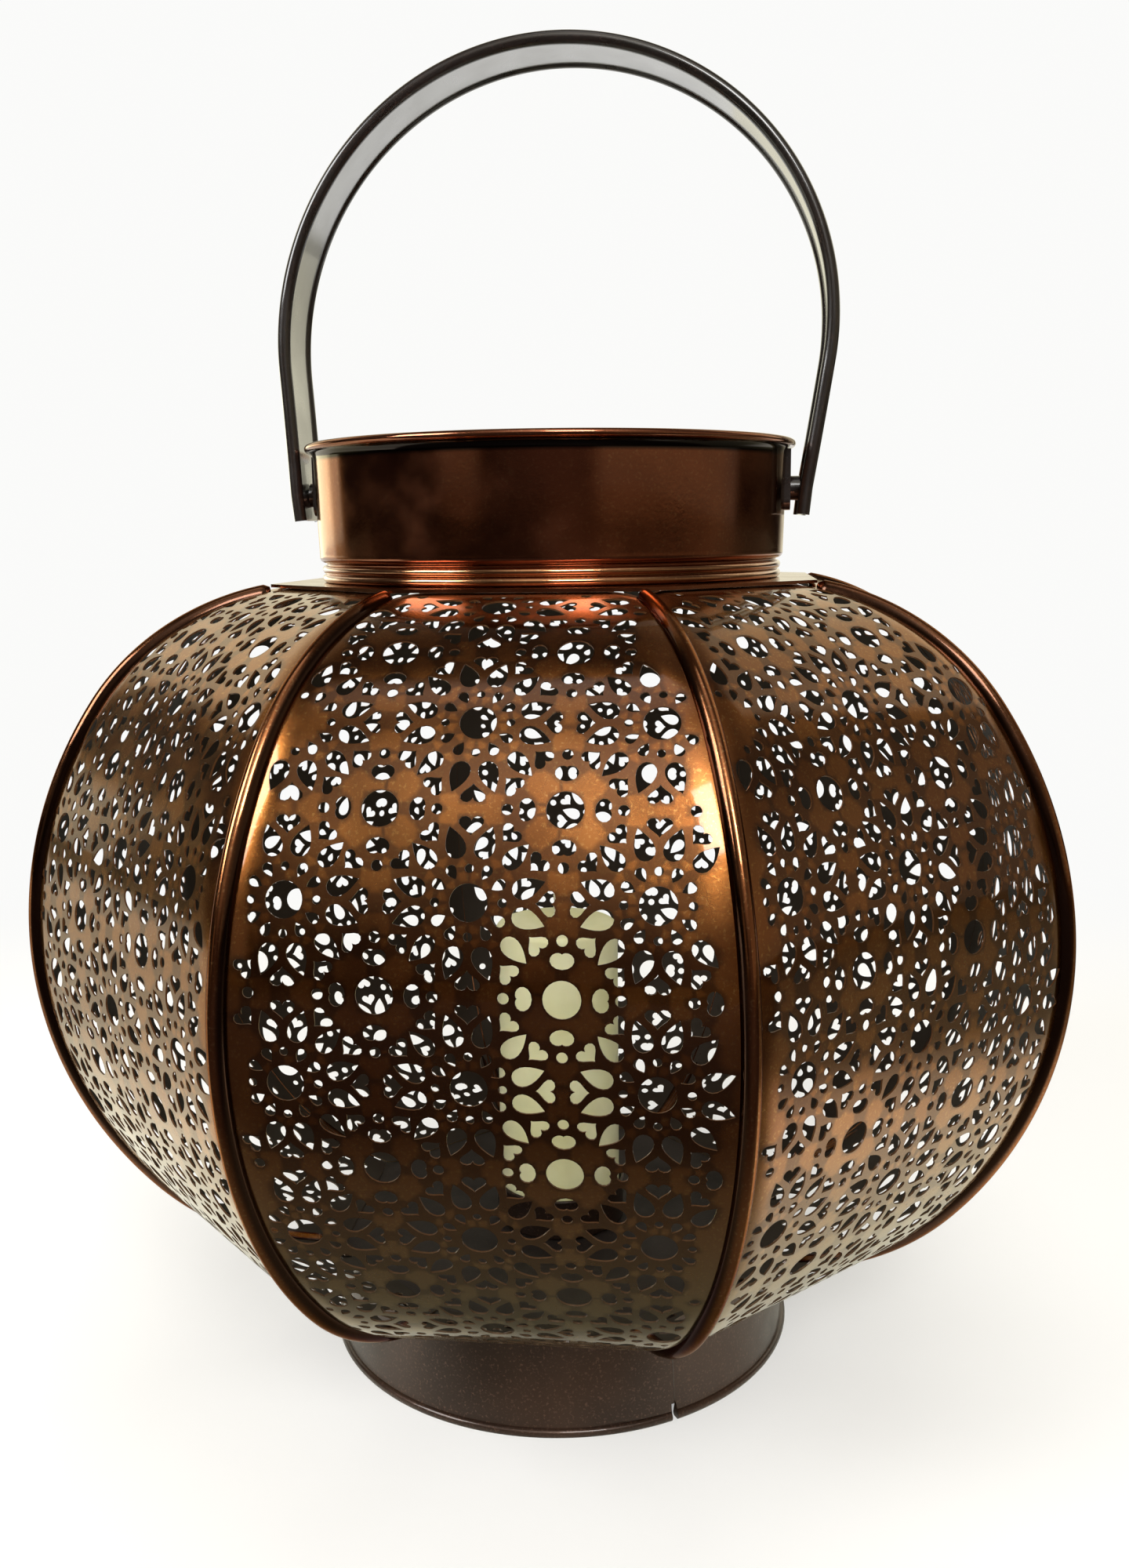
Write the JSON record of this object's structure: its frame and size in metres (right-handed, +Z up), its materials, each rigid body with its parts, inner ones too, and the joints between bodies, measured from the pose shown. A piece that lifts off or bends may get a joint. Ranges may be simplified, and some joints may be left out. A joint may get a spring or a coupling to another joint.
{
  "type": "lantern",
  "caption": "Faceted bulb-shaped punched sheet-metal candle lantern with an open collar, swinging strip handle, foot ring and lift-out pillar candle.",
  "frame": {"origin": "on the ground at the centre of the foot ring", "axes": "+Z up along the lantern's axis, the front panel faces -Y, the handle's pivot axis lies along X"},
  "size_m": [0.2612, 0.2612, 0.3505],
  "materials": {
    "panel_lacquer": "glossy copper-brown lacquer on punched tin sheet",
    "rib_lacquer": "glossy copper-brown lacquer, worn brighter along the crown",
    "collar_lacquer": "glossy dark copper-brown lacquer",
    "foot_lacquer": "glossy dark brown lacquer",
    "handle_lacquer": "glossy near-black brown lacquer",
    "rivet_metal": "dark lacquered rivet, worn at the edge",
    "wax": "pale cream wax",
    "wick_cotton": "waxed cotton cord"
  },
  "bodies": {
    "lantern": {"panel_front": "panel_lacquer", "panel_front_right": "panel_lacquer", "panel_right": "panel_lacquer", "panel_back_right": "panel_lacquer", "panel_back": "panel_lacquer", "panel_back_left": "panel_lacquer", "panel_left": "panel_lacquer", "panel_front_left": "panel_lacquer", "seam_rib_1": "rib_lacquer", "seam_rib_2": "rib_lacquer", "seam_rib_3": "rib_lacquer", "seam_rib_4": "rib_lacquer", "seam_rib_5": "rib_lacquer", "seam_rib_6": "rib_lacquer", "seam_rib_7": "rib_lacquer", "seam_rib_8": "rib_lacquer", "collar": "collar_lacquer", "shoulder_ring": "collar_lacquer", "neck_band": "collar_lacquer", "lug_right": "collar_lacquer", "lug_left": "collar_lacquer", "pivot_spacer_right": "collar_lacquer", "pivot_spacer_left": "collar_lacquer", "foot_ring": "foot_lacquer", "base_plate": "foot_lacquer", "candle_cup": "foot_lacquer", "pivot_rivet_right": "rivet_metal", "pivot_rivet_left": "rivet_metal"},
    "handle": {"handle": "handle_lacquer"},
    "candle": {"candle": "wax", "wick": "wick_cotton"}
  },
  "joints": [
    {"name": "handle_swing", "type": "hinge", "parent": "lantern", "child": "handle", "pos_m": [0, 0, 0.2384], "axis": [1, 0, 0], "range_deg": [-102, 102]},
    {"name": "candle_lift", "type": "slide", "parent": "lantern", "child": "candle", "axis": [0, 0, 1], "range_m": [0, 0.2]}
  ]
}
